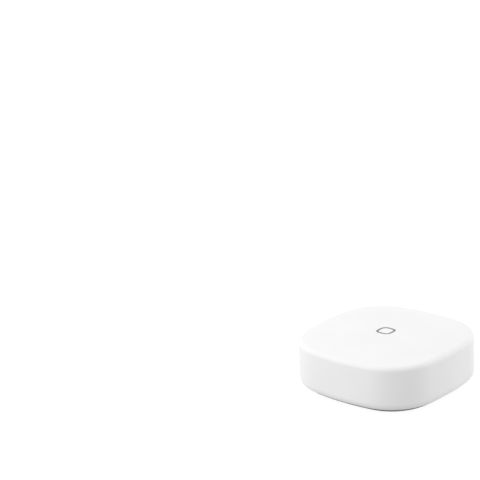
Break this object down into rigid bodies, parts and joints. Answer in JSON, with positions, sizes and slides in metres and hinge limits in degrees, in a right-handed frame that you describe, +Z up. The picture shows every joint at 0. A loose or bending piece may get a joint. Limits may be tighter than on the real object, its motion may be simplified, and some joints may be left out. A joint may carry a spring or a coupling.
{
  "type": "smart button",
  "caption": "White rounded-square puck whose whole shell is a push button, over a base with a coin cell behind a bayonet door.",
  "frame": {"origin": "middle of the footprint on the table, at the underside of the foot ring", "axes": "+Z up, out of the crowned top; X and Y square to the flat sides"},
  "size_m": [0.051, 0.051, 0.0174],
  "materials": {
    "shell_white": "fine satin moulded plastic",
    "halo_grey": "dark translucent light guide",
    "tray_grey": "fine satin moulded plastic",
    "foot_rubber": "soft matt rubber",
    "cell_steel": "satin stainless steel",
    "seal_plastic": "moulded sealing ring",
    "cell_black": "pressed dark powder",
    "cell_paper": "thin porous sheet",
    "lithium_metal": "soft dull metal",
    "contact_metal": "bright plated spring strip",
    "board_green": "green solder mask",
    "screw_steel": "plated steel",
    "chip_black": "moulded package",
    "shield_metal": "thin plated sheet",
    "antenna_white": "glazed ceramic",
    "led_white": "white package with a clear lens",
    "capacitor_tan": "fired ceramic",
    "switch_black": "moulded body",
    "spring_steel": "drawn spring wire"
  },
  "bodies": {
    "base": {"base_tray": "tray_grey", "foot_ring": "foot_rubber", "coin_cell_can": "cell_steel", "coin_cell_gasket": "seal_plastic", "coin_cell_lid": "cell_steel", "cell_cathode_pellet": "cell_black", "cell_separator": "cell_paper", "cell_lithium_disc": "lithium_metal", "positive_contact": "contact_metal", "negative_contact": "contact_metal", "circuit_board": "board_green", "board_screws": "screw_steel", "radio_chip": "chip_black", "radio_shield": "shield_metal", "clock_crystal": "shield_metal", "chip_antenna": "antenna_white", "flash_memory": "chip_black", "temperature_sensor": "chip_black", "status_led": "led_white", "chip_capacitors": "capacitor_tan", "chip_resistors": "chip_black", "switch_bodies": "switch_black", "switch_covers": "shield_metal", "switch_domes": "contact_metal", "switch_terminals": "contact_metal", "return_springs": "spring_steel"},
    "shell": {"press_cap": "shell_white", "halo_light_guide": "halo_grey", "halo_center_cap": "shell_white"},
    "door": {"battery_door": "tray_grey"},
    "left_switch": {"left_plunger": "switch_black"},
    "right_switch": {"right_plunger": "switch_black"}
  },
  "joints": [
    {"name": "shell_press", "type": "slide", "parent": "base", "child": "shell", "axis": [0, 0, -1], "range_m": [0, 0.0004], "stiffness_N_per_m": 1200, "springref_m": -0.0008, "deforming": ["return_springs", "switch_domes"]},
    {"name": "left_plunger_press", "type": "slide", "parent": "base", "child": "left_switch", "axis": [0, 0, -1], "range_m": [0, 0.0004]},
    {"name": "right_plunger_press", "type": "slide", "parent": "base", "child": "right_switch", "axis": [0, 0, -1], "range_m": [0, 0.0004]},
    {"name": "door_turn", "type": "hinge", "parent": "base", "child": "door", "pos_m": [0, 0, 0.0012], "axis": [0, 0, 1], "range_deg": [0, 30]}
  ],
  "couplings": [
    {"joint": "left_plunger_press", "follows": "shell_press", "ratio": 1},
    {"joint": "right_plunger_press", "follows": "shell_press", "ratio": 1}
  ]
}
